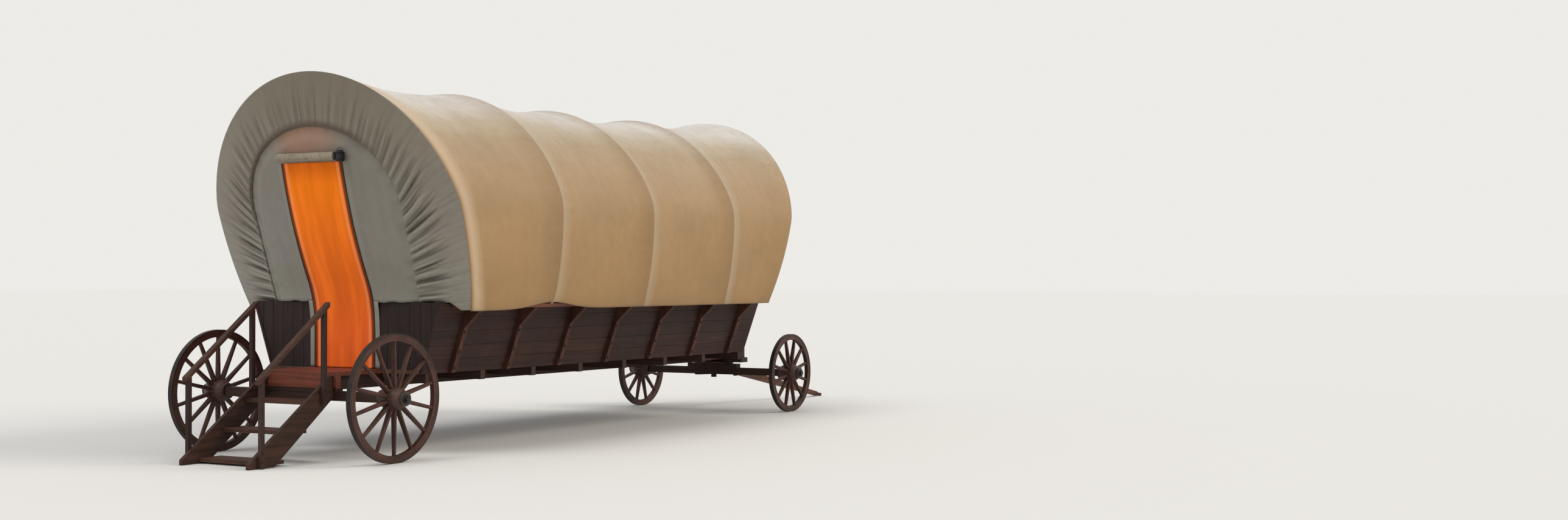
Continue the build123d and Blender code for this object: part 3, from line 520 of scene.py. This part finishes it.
# Bays between hoops: the section's top and width dip as 4t(1-t); puckers fade away from each hoop by an
# exponential; near the feet the cloth hangs a little lower, and is lifted by a bell curve at one hoop
def coverSheet():
    hoops = np.array(cover["hoops"])
    bays = len(hoops) - 1
    t = np.linspace(0, bays, bays * cover["perBay"] + 1)
    bay = np.minimum(t.astype(int), bays - 1)
    part = t - bay
    row = hoops[bay] + (hoops[bay + 1] - hoops[bay]) * part[:, None]
    dip = 4 * part * (1 - part)
    foot, top, lean = row[:, 0], row[:, 1] - cover["sag"] * dip, np.radians(row[:, 2])
    u = np.linspace(-1, 1, cover["around"] + 1)[None, :]
    shoulder = cover["shoulder"] * (top - cover["wideZ"])
    x, h, s = horseshoe(u, cover["footHalf"], (cover["wideHalf"] - cover["sideSag"] * dip)[:, None],
                        top[:, None], lean[:, None], shoulder[:, None])
    points = stand(x, h, foot[:, None], lean[:, None])
    length = foot[:, None] + 0 * u
    fromHoop = np.minimum(part, 1 - part)[:, None] * cover["bay"]
    pucker = np.exp(-fromHoop / cover["puckerFade"]) * (1 - np.exp(-fromHoop / cover["puckerFrom"]))
    gathered = ripple(s, length, ((7.0, 0.2), (11.0, -0.3), (4.3, 0.1)), 3)
    loose = ripple(s, length, ((0.9, 0.5), (0.5, -0.8), (1.4, 0.3), (0.3, 1.3)), 5)
    height = cover["pucker"] * pucker * gathered + cover["ripple"] * loose
    height = height * np.clip(fromHoop / cover["flat"], 0, 1)
    inward = np.abs(height) * 0.6 - height * 0.4  # hollows go in by all their depth, crests by a fifth
    points = points - gridNormals(points) * inward[..., None]
    low = np.clip((np.abs(u) - 1 + cover["hemShare"]) / cover["hemShare"], 0, 1) ** 2
    bell = np.exp(-((length - cover["liftPlace"]) / cover["liftWide"]) ** 2)
    points[..., 2] += (cover["lift"] * bell - cover["hemDrop"]) * low
    # Painted shade in the cloth's hollows and along the hem
    fold = np.clip(-height / cover["hollowDeep"], 0, 1) * cover["hollowShade"] + cover["hemShade"] * low
    piece = gridMesh("coverCanvas", points, np.stack(np.broadcast_arrays(s, length), axis=-1), fold=fold)
    hang(piece, cover["thick"], "cover", "canvas",
         "cover_panel_1", "cover_panel_2", "cover_panel_3", "cover_panel_4")


coverSheet()
print("cover made")

# The end canvas in metres; its slices: place across, height of the bend, its radius, its turn in degrees,
# radius of the long arc above it
endWall = {
    "middle": (0.0, 1.200, 1.300, 25.0, 4.600), "side": (1.0, 1.500, 0.500, 17.6, 60.0),
    "doorHalf": 0.405, "doorFoot": 0.845, "doorTop": 2.865, "strip": 0.055, "thick": 0.003,
    "blendIn": 0.16, "tuck": 0.012, "recess": 0.009, "gather": 0.004, "crumple": 0.005, "set": 0.002,
    "rows": 100, "footRows": 24, "wingColumns": 60, "doorColumns": 46, "crownGap": 0.004, "doorShare": 0.6,
    "turnZ": 1.9, "gathers": 30, "gatherSwing": 2.5, "swings": 7, "gatherShade": 0.25, "hemReach": 0.25,
    "glow": 0.85, "glowX": -0.07, "glowWide": 0.38, "glowZ": 2.91, "glowSoft": 0.08,
    "tapeSoft": 0.008, "tapeShade": 0.75,
}


# How far a slice of the end canvas stands out at a height: upright, a bend out, then a long arc
def sliceOut(z, cut):
    _, bendZ, bendR, turn, arcR = cut
    turn = math.radians(turn)
    bentZ = bendZ + bendR * math.sin(turn)
    onBend = np.clip((z - bendZ) / bendR, 0, math.sin(turn))
    slope = np.arcsin(math.sin(turn) - np.maximum(z - bentZ, 0) / arcR)
    upper = bendR * (1 - math.cos(turn)) + arcR * (np.cos(slope) - math.cos(turn))
    return np.where(z < bentZ, bendR * (1 - np.sqrt(1 - onBend ** 2)), upper)


def standOut(x, z):  # fullest in the middle, falling off with the square of the place across
    middle = sliceOut(z, endWall["middle"])
    side = sliceOut(z, endWall["side"])
    return middle + (side - middle) * (x / endWall["side"][0]) ** 2


# The drawn-in bands in metres; pleats: waves on each side; spread: how much closer they are at the crown;
# slant: lean on the sides; wander: random part of their phase; deep and start: mean and random part of how
# deep they are and where they begin, and what the crown and the sides add; long: share of the long waves
drawn = {
    "depth": 0.125, "footHalf": 0.950, "wideHalf": 0.974, "top": 3.210, "shoulder": 0.800,
    "around": 1250, "rows": 38, "thick": 0.003, "reach": 0.62, "belly": 0.020, "casing": 0.014,
    "hemZ": 1.503, "cornerIn": 1.27, "cornerOut": 1.40, "droop": 0.075, "hemWave": 0.010,
    "pleats": 31.0, "spread": 6.0, "pleatDeep": 0.028, "slant": 0.050, "wander": 0.30,
    "deepMean": 0.72, "deepRandom": 0.45, "startMean": 0.34, "startSide": 0.02, "startRandom": 0.12,
    "startSoft": 0.34, "crownDeep": 0.34, "sideDeep": 0.66, "long": 0.30,
}


def endPlane(end):  # the end wall's place, the way out, and its hoop
    return (doorY, -1, cover["hoops"][0]) if end == "door" else (towY, 1, cover["hoops"][-1])


def drawnEdge(end, u, inset=0.0):  # points of the drawn edge, a horseshoe in a plane outside the hoop's
    _, out, (foot, _, lean) = endPlane(end)
    lean = math.radians(lean)
    x, h, _ = horseshoe(u, drawn["footHalf"] - inset, drawn["wideHalf"] - inset, drawn["top"] - inset, lean,
                        drawn["shoulder"])
    return stand(x, h, foot + out * drawn["depth"], lean)


def hemWave(x):  # the hem of the ends rises and falls a little across the wagon
    return drawn["hemWave"] * ripple(x, 0, ((1.3, 0), (2.9, 0), (4.7, 0)), 51)


def ramp(value, start, width):  # 0 up to the start, 1 a width further
    return np.clip((value - start) / width, 0, 1)


# Pleats are cosine waves round the arch, whose phase grows slower towards the feet; they are deepest near
# the drawn edge and rise outwards on the sides, and two neighbours run together in a wave twice as long
def drawnBand(end):
    _, out, (foot, top, lean) = endPlane(end)
    lean = math.radians(lean)
    u = np.linspace(-1, 1, drawn["around"] + 1)
    x, h, s = horseshoe(u, cover["footHalf"], cover["wideHalf"], top, lean,
                        cover["shoulder"] * (top - cover["wideZ"]))
    outer = stand(x, h, foot, lean)
    inner = drawnEdge(end, u)
    w = np.linspace(0, 1, drawn["rows"])[:, None]
    points = outer[None] + (inner - outer)[None] * w[..., None]
    seed = 11 if end == "door" else 12
    side = np.clip(np.abs(u) * 2.6 - 0.55, 0, 1)
    low = np.clip(3 * np.abs(u) - 2, 0, 1)
    slant = u - drawn["slant"] * w ** 1.3 * side * (1 - low) * np.sign(u)
    phase = drawn["pleats"] * slant - drawn["spread"] * slant * np.abs(slant)
    phase = phase + drawn["wander"] * ripple(slant * 9, w * 0.4,
                                             ((1.0, 0.5), (1.7, 0), (2.9, 0.7), (4.1, 0)), seed)
    wave = 0.5 - 0.5 * np.cos(2 * np.pi * phase)
    merged = 0.5 - 0.5 * np.cos(np.pi * phase + 0.6)
    uneven = ripple(slant * 13, w * 0.6, ((1.0, 0.2), (2.3, 0.4), (3.1, 0.0)), seed + 4)
    strength = drawn["deepMean"] + drawn["deepRandom"] * uneven
    ragged = ripple(slant * 11, 0, ((1.0, 0), (2.7, 0), (5.3, 0)), seed + 9)
    start = drawn["startMean"] + drawn["startSide"] * side + drawn["startRandom"] * ragged
    reach = ramp(w, start, drawn["startSoft"])
    wide = ramp(w, start - 0.16, 0.30) * np.clip((1.05 - w) / 0.4, 0, 1)
    deep = strength * (drawn["crownDeep"] + drawn["sideDeep"] * side)
    hollow = deep * (reach * wave ** 0.65 + drawn["long"] * wide * merged)
    crest = deep * reach * (1 - wave) ** 2
    # the sewn edge stands out at the crown and down the left side, and lies flat elsewhere
    sewn = 1 - ramp(u, 0.22, 0.22) - ramp(-u, 0.56, 0.14)
    full = drawn["belly"] * np.sin(np.pi * np.clip(w / 0.96, 0, 1))
    lip = (0.15 + 0.85 * sewn) * np.exp(-((w - 0.955) / 0.024) ** 2) - 0.5 * ramp(w, 0.975, 0.025)
    proud = full - drawn["pleatDeep"] * hollow * (1 - ramp(w, 0.915, 0.065)) + drawn["casing"] * lip
    normal = gridNormals(points)
    points = points + normal * np.sign(out * normal[..., 1].mean()) * proud[..., None]
    corner = ramp(np.abs(points[..., 0]), drawn["cornerIn"], drawn["cornerOut"] - drawn["cornerIn"])
    hem = drawn["hemZ"] - drawn["droop"] * corner ** 2 * (3 - 2 * corner) + hemWave(points[..., 0])
    points[..., 2] = np.maximum(points[..., 2], hem)
    uv = np.stack(np.broadcast_arrays(s[None], w * drawn["reach"]), axis=-1)
    # The brown casing along the drawn edge, with painted shadow, strongest at the crown and down the left
    # side
    seam = np.exp(-((w - 0.966 + 0.014 * (1 - side)) / (0.040 + 0.026 * (1 - side))) ** 2)
    # Painted shade in the pleat hollows and painted highlight on their crests
    piece = gridMesh(f"{end}EndBand", points, uv, end != "door", fold=np.clip(hollow, 0, 1) - 0.8 * crest,
                     hem=0.85 * sewn * seam)
    hang(piece, drawn["thick"], "ends", "canvas", f"{end}_end_band")


# Rows by height from foot to crown, each as wide as the drawn edge there; columns follow the doorway's
# edges, and its cells are left out; below the hem only the strips beside the door remain. The cloth bulges
# like its slices and is blended into the drawn edge over a short distance
def endCanvas(end):
    wallY, out, _ = endPlane(end)
    doorHalf, doorTop, strip = endWall["doorHalf"], endWall["doorTop"], endWall["strip"]
    edge = drawnEdge(end, np.linspace(0, 1, 500), -endWall["tuck"])
    edgeX, edgeY, edgeZ = edge[np.argsort(edge[:, 2])].T
    quarter = np.sin(np.linspace(0, np.pi / 2, endWall["rows"]))
    heights = drawn["hemZ"] + (edgeZ[-1] - endWall["crownGap"] - drawn["hemZ"]) * quarter
    heights = np.unique(np.concatenate([heights, [doorTop]]))
    below = np.linspace(endWall["doorFoot"], drawn["hemZ"], endWall["footRows"]) if end == "door" else []
    zs = np.concatenate([below, heights])[:, None]
    width = np.interp(zs, edgeZ, edgeX)
    width[:len(below)] = doorHalf + strip
    half = np.minimum(doorHalf, width * endWall["doorShare"])
    half[:len(below)] = doorHalf
    wing = half + (width - half) * np.linspace(0, 1, endWall["wingColumns"])
    middle = half * np.linspace(-1, 1, endWall["doorColumns"] + 2)[1:-1]
    xx = np.concatenate([-wing[:, ::-1], middle, wing], axis=1)
    zz = zs + 0 * xx
    rim = np.stack([edgeX, edgeZ], axis=-1)[edgeZ > drawn["hemZ"]][::4]
    gap = np.hypot(np.abs(xx)[..., None] - rim[:, 0], zz[..., None] - rim[:, 1]).min(axis=-1)
    near = np.clip(1 - gap / endWall["blendIn"], 0, 1)
    near = near ** 2 * (3 - 2 * near)
    drawnOut = (np.interp(zz, edgeZ, edgeY) - wallY) * out - endWall["recess"]
    free = standOut(xx, zz)
    proud = free + (drawnOut - free) * near * (zz > drawn["hemZ"] - 0.001) - endWall["set"]
    turn = np.arctan2(xx, zz - endWall["turnZ"])
    swing = endWall["gatherSwing"] * np.sin(turn * endWall["swings"])
    gathers = np.sin(turn * endWall["gathers"] + swing)
    crumple = endWall["crumple"] * ripple(xx, zz, ((0.6, 0.9), (1.1, -0.5), (0.4, 1.6), (2.1, 0.7)), 21)
    proud = proud - np.abs(crumple) * (1 - near) - np.abs(endWall["gather"] * near * gathers)
    zz = zz + hemWave(xx) * np.clip(1 - np.abs(zz - drawn["hemZ"]) / endWall["hemReach"], 0, 1)
    # Painted shade in the gathers by the drawn edge
    fold = endWall["gatherShade"] * near * np.clip(gathers, 0, 1)
    keep = np.ones((zz.shape[0] - 1, zz.shape[1] - 1), bool)
    warm = 0.0
    if end == "door":
        left = endWall["wingColumns"] - 1
        keep[:, left:left + endWall["doorColumns"] + 1] = zs[:-1] > doorTop - 1e-4
        keep[len(below) - 1] = False
        # Painted lamp glow on the canvas above the door
        warm = endWall["glow"] * np.exp(-((xx - endWall["glowX"]) / endWall["glowWide"]) ** 4)
        warm = warm * ramp(zz, endWall["glowZ"], endWall["glowSoft"])
        soft = endWall["tapeSoft"]
        tape = np.clip((doorHalf + strip + soft / 2 - np.abs(xx)) / soft, 0, 1)
        fold = fold - endWall["tapeShade"] * tape * (zz < doorTop)
    piece = gridMesh(f"{end}EndCanvas", np.stack([xx, wallY + out * proud, zz], axis=-1),
                     np.stack([xx, zz], axis=-1), out > 0, keep, warm=warm, fold=fold)
    hang(piece, endWall["thick"], "inner", "canvas", f"{end}_end_canvas")


for end in ("door", "towing"):
    drawnBand(end)
for end in ("door", "towing"):
    endCanvas(end)
print("drawn bands and end canvases made")

flap = {"inset": 0.0135, "clear": 0.001, "proud": 0.0015, "slack": 0.006, "thick": 0.002,
        "rows": 150, "columns": 60}


# The flap hangs in the plane of the end canvas; a ripple moves it outwards between its sewn edges, by a
# power of the distance to them
def doorFlap():
    half = endWall["doorHalf"] - flap["inset"]
    foot, head = endWall["doorFoot"] + flap["clear"], endWall["doorTop"] - flap["clear"]
    z = np.linspace(foot, head, flap["rows"])[:, None]
    x = np.linspace(-half, half, flap["columns"])[None, :]
    loose = (1 - (x / half) ** 2) ** 0.6
    wave = flap["slack"] * loose * ripple(x, z, ((1.1, 0.35), (0.6, 0.8), (1.9, -0.4), (0.3, 1.4)), 31)
    y = doorY - standOut(x, z) + flap["proud"] + np.abs(wave)
    grid = np.stack(np.broadcast_arrays(x, y, z), axis=-1)
    piece = gridMesh("doorFlap", grid, grid[..., [0, 2]].copy())
    hang(piece, flap["thick"], "door", "door_cloth", "door_flap")


roll = {"turns": 7, "perTurn": 44, "columns": 60, "inner": 0.007, "proud": 0.004, "in": 0.006,
        "ragged": 0.010, "uneven": 0.022, "thick": 0.0012}


# The blind is a cloth wound on itself: a spiral whose radius grows evenly with the turn, a little uneven
# along its length and at its ends
def blindRoll():
    low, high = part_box("door_blind_roll")
    centre = (low + high) / 2
    angle = np.linspace(0, 2 * np.pi * roll["turns"], roll["perTurn"] * roll["turns"])[:, None]
    part = np.linspace(-1, 1, roll["columns"])[None, :]
    ends = roll["proud"] + roll["ragged"] * (0.5 + 0.5 * np.sin(angle * 0.71 + 1.0))
    x = centre.x + ((high.x - low.x) / 2 - ends) * part
    rim = (high.z - low.z) / 2 + roll["proud"] - roll["thick"]
    radius = roll["inner"] + (rim - roll["inner"]) * angle / angle.max()
    uneven = 1 + ripple(angle / 6.283, x, ((1.0, 0.9), (2.0, -1.3), (1.0, 3.1)), 41)
    radius = radius * (1 - roll["uneven"] * uneven)
    y = centre.y - roll["in"] + radius * np.cos(angle)
    points = np.stack(np.broadcast_arrays(x, y, centre.z + radius * np.sin(angle)), axis=-1)
    wound = np.linalg.norm(np.diff(points[:, roll["columns"] // 2], axis=0), axis=-1)
    along = np.concatenate([[0], np.cumsum(wound)])[:, None]
    piece = gridMesh("blindRoll", points, np.stack(np.broadcast_arrays(x, along), axis=-1))
    hang(piece, roll["thick"], "blind", "canvas", "door_blind_roll", offset=0.0)


doorFlap()
blindRoll()
print("door flap and blind roll made")

# Hardware in metres: profiles are (radius, height) turned about the outward direction; ribs as the frame
# has them; post bolts are (distance from the porch edge, height)
hardware = {
    "boltProfile": ((0.0, 0.0), (0.017, 0.0), (0.017, 0.003), (0.0105, 0.0035), (0.010, 0.007),
                    (0.006, 0.0098), (0.0, 0.0105)),
    "capProfile": ((0.0, 0.0), (0.050, 0.0), (0.050, 0.006), (0.045, 0.010), (0.031, 0.011),
                   (0.031, 0.030), (0.026, 0.034), (0.0, 0.034)),
    "boltSides": 12, "capSides": 48, "capHexRows": (4, 5, 6),
    "ribFoot": 1.000, "ribFootZ": 0.802, "ribTopX": 1.255, "ribTopZ": 1.500, "ribThick": 0.045,
    "ribHeights": (0.850, 1.010, 1.205), "ribStart": 0.42, "ribs": 7,
    "postBolts": ((0.94, 0.065), (0.94, 0.150), (0.15, 0.590), (0.15, 0.680)),
}


# A closed mesh from points and quads: points that fall together are joined and faces turned outwards
def closedPiece(name, points, quads, body, look):
    mesh = bpy.data.meshes.new(name)
    mesh.from_pydata(points, [], quads)
    shape = bmesh.new()
    shape.from_mesh(mesh)
    bmesh.ops.remove_doubles(shape, verts=shape.verts, dist=1e-6)
    bmesh.ops.recalc_face_normals(shape, faces=shape.faces)
    shape.to_mesh(mesh)
    shape.free()
    piece = bpy.data.objects.new(name, mesh)
    bpy.context.scene.collection.objects.link(piece)
    piece.data.materials.append(finishes[look])
    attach(piece, body)


# Quads of tubes made of rings, one tube after another in the list of points
def tubeQuads(tubes, rings, sides):
    index = np.arange(rings * sides).reshape(rings, sides)
    after = np.roll(index, -1, axis=1)
    quads = np.stack([index[:-1], after[:-1], after[1:], index[1:]], axis=-1).reshape(1, -1, 4)
    return (quads + np.arange(tubes)[:, None, None] * index.size).reshape(-1, 4)


# One turned solid at each place, along its own outward direction, which has no part along Y; hexRows are
# rings with six flats, whose radius is that of a hexagon at each angle
def turnedSolids(name, places, outward, profile, sides, body, hexRows=()):
    places, outward, profile = (np.array(values, float) for values in (places, outward, profile))
    angle = np.linspace(0, 2 * np.pi, sides, endpoint=False)
    flats = np.cos(np.pi / 6) / np.cos(angle % (np.pi / 3) - np.pi / 6)
    isHex = np.isin(np.arange(len(profile)), hexRows)[:, None]
    radius = profile[:, :1] * np.where(isHex, flats, 1.0)
    across = np.array([0.0, 1.0, 0.0])
    up = np.cross(outward, across)[:, None, None]
    ring = (radius * np.cos(angle))[..., None] * across + (radius * np.sin(angle))[..., None] * up
    points = places[:, None, None] + outward[:, None, None] * profile[:, 1, None, None] + ring
    quads = tubeQuads(len(places), len(profile), sides)
    closedPiece(name, points.reshape(-1, 3), quads, body, "iron")


# Round wires along paths (wires, points, 3): rings square to the path, closed to a point at both ends
def wires(name, paths, radius, body, sides=8):
    along = np.gradient(paths, axis=1)
    along /= np.linalg.norm(along, axis=-1, keepdims=True)
    side = np.cross(along, paths - paths.mean(axis=(0, 1)))
    side /= np.linalg.norm(side, axis=-1, keepdims=True)
    other = np.cross(along, side)
    angle = np.linspace(0, 2 * np.pi, sides, endpoint=False)[:, None]
    taper = np.minimum(1, 9.0 * np.sin(np.linspace(0, np.pi, paths.shape[1])))[None, :, None, None]
    ring = side[:, :, None] * np.cos(angle) + other[:, :, None] * np.sin(angle)
    points = paths[:, :, None] + radius * taper * ring
    quads = tubeQuads(len(paths), paths.shape[1], sides)
    closedPiece(name, points.reshape(-1, 3), quads, body, "black")


# Three bolts on each rib, square to the leaning wall, and two where each post is fixed to its stringer
def bolts():
    lean = math.atan2(hardware["ribTopX"] - hardware["ribFoot"], hardware["ribTopZ"] - hardware["ribFootZ"])
    pitch = (boxLength - 2 * hardware["ribStart"]) / (hardware["ribs"] - 1)
    y = doorY + hardware["ribStart"] + pitch * np.arange(hardware["ribs"])
    side, y, z = (values.ravel() for values in np.meshgrid((-1.0, 1.0), y, hardware["ribHeights"]))
    x = side * (hardware["ribFoot"] + (z - hardware["ribFootZ"]) * math.tan(lean) + hardware["ribThick"])
    out = np.stack([side * math.cos(lean), 0 * side, 0 * side - math.sin(lean)], axis=-1)
    onRibs = np.stack([x, y, z], axis=-1)
    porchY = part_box("porch_boards")[0].y
    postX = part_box("stair_posts")[1].x
    reach, height = np.array(hardware["postBolts"]).T
    side = np.repeat([-1.0, 1.0], len(reach))
    onPosts = np.stack([side * postX, porchY - np.tile(reach, 2), np.tile(height, 2)], axis=-1)
    postOut = np.stack([side, 0 * side, 0 * side], axis=-1)
    turnedSolids("bolts", np.concatenate([onRibs, onPosts]), np.concatenate([out, postOut]),
                 hardware["boltProfile"], hardware["boltSides"], "wagon")


# A cast cap with six flats on the hub's outer end
def hubCap(wheel):
    low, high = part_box(f"{wheel}_hub")
    out = 1.0 if low.x > 0 else -1.0
    face = (high.x if out > 0 else low.x, (low.y + high.y) / 2, (low.z + high.z) / 2)
    turnedSolids(f"{wheel}_cap", [face], [(out, 0.0, 0.0)], hardware["capProfile"], hardware["capSides"],
                 wheel, hardware["capHexRows"])


# Wires of the lantern in metres, and as shares of its radius and height
lantern = {"wire": 0.0028, "guards": 4, "guardIn": 0.84, "bow": 0.12, "foot": 0.16, "rise": 0.58,
           "bailRadius": 0.044, "bailFoot": 0.72, "bailRise": 0.055}


# Guard wires stand round the glass, bowed by a half sine, and the bail is half an ellipse over the top
def lanternWires():
    low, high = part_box("door_lantern")
    radius = (high.y - low.y) / 2
    height = high.z - low.z
    centre = np.array([high.x - radius, (low.y + high.y) / 2, low.z])
    t = np.linspace(0, 1, 25)[None, :]
    turn = np.pi / 4 + np.pi / 2 * np.arange(lantern["guards"])[:, None]
    bow = radius * (lantern["guardIn"] + lantern["bow"] * np.sin(np.pi * t))
    rise = height * (lantern["foot"] + lantern["rise"] * t) + 0 * turn
    guards = centre + np.stack([bow * np.cos(turn), bow * np.sin(turn), rise], axis=-1)
    wires("lanternGuards", guards, lantern["wire"], "wagon")
    sweep = np.pi * t
    over = height * lantern["bailFoot"] + lantern["bailRise"] * np.sin(sweep)
    bail = centre + np.stack([lantern["bailRadius"] * np.cos(sweep), 0 * sweep, over], axis=-1)
    wires("lanternBail", bail, lantern["wire"], "wagon")


bolts()
for wheel in hubPlace:
    hubCap(wheel)
lanternWires()
print("bolts, hub caps and lantern wires made")

# Floor, light and camera: two broad suns from the directions given, and a plain pale sky
stage = {
    "floorHalf": 150.0, "floor": rgb(226, 223, 217), "sky": (0.86, 0.88, 0.92, 1.0), "skyLight": 0.62,
    "backdrop": (0.845, 0.835, 0.80, 1.0),
    "suns": {"key": (1.45, (1.0, 0.93, 0.84), 28, (-0.75, -0.42, -0.52)),
             "fill": (1.15, (0.94, 0.97, 1.0), 34, (0.08, 0.50, -0.86))},
    "eye": (12.89, -13.57, 1.78), "forward": (-0.5, 0.8660254, 0.0075), "lens": 41.93,
}
reach = stage["floorHalf"]
mesh = bpy.data.meshes.new("floor")
mesh.from_pydata([(-reach, -reach, 0), (reach, -reach, 0), (reach, reach, 0), (-reach, reach, 0)], [],
                 [(0, 1, 2, 3)])
floor = bpy.data.objects.new("floor", mesh)
bpy.context.scene.collection.objects.link(floor)
floor.data.materials.append(finish("floorPaint", lambda where, uv, put: None, Base_Color=stage["floor"],
                                   Roughness=0.9))

world = bpy.data.worlds.new("studio")
bpy.context.scene.world = world
world.use_nodes = True
tree = world.node_tree
tree.nodes.clear()
path = tree.nodes.new("ShaderNodeLightPath")
seen = Wire(tree, path.outputs["Is Camera Ray"])
seen = seen.math("MAXIMUM", seen, Wire(tree, path.outputs["Is Glossy Ray"]))
seen = seen.math("MAXIMUM", seen, Wire(tree, path.outputs["Is Transmission Ray"]))
lit = seen.node("ShaderNodeBackground", {}, {"Color": stage["sky"], "Strength": stage["skyLight"]})
shown = seen.node("ShaderNodeBackground", {}, {"Color": stage["backdrop"], "Strength": 1.0})
both = seen.node("ShaderNodeMixShader", {}, {0: seen, 1: lit, 2: shown})
out = tree.nodes.new("ShaderNodeOutputWorld")
tree.links.new(both.socket, out.inputs["Surface"])

for name, (strength, colour, spread, direction) in stage["suns"].items():
    sun = bpy.data.lights.new(name, "SUN")
    sun.energy = strength
    sun.color = colour
    sun.angle = math.radians(spread)
    lamp = bpy.data.objects.new(name, sun)
    bpy.context.scene.collection.objects.link(lamp)
    lamp.rotation_euler = Vector(direction).to_track_quat("-Z", "Y").to_euler()

camera = bpy.data.cameras.new("camera")
camera.lens = stage["lens"]
camera.sensor_width = 36.0
camera.clip_end = 300
view = bpy.data.objects.new("camera", camera)
bpy.context.scene.collection.objects.link(view)
eyeX, eyeY, eyeZ = stage["eye"]
view.location = (eyeX, doorY + eyeY, eyeZ)
view.rotation_euler = Vector(stage["forward"]).to_track_quat("-Z", "Y").to_euler()
bpy.context.scene.camera = view
bpy.context.scene.view_settings.view_transform = "Standard"
print("stage, light and camera set")
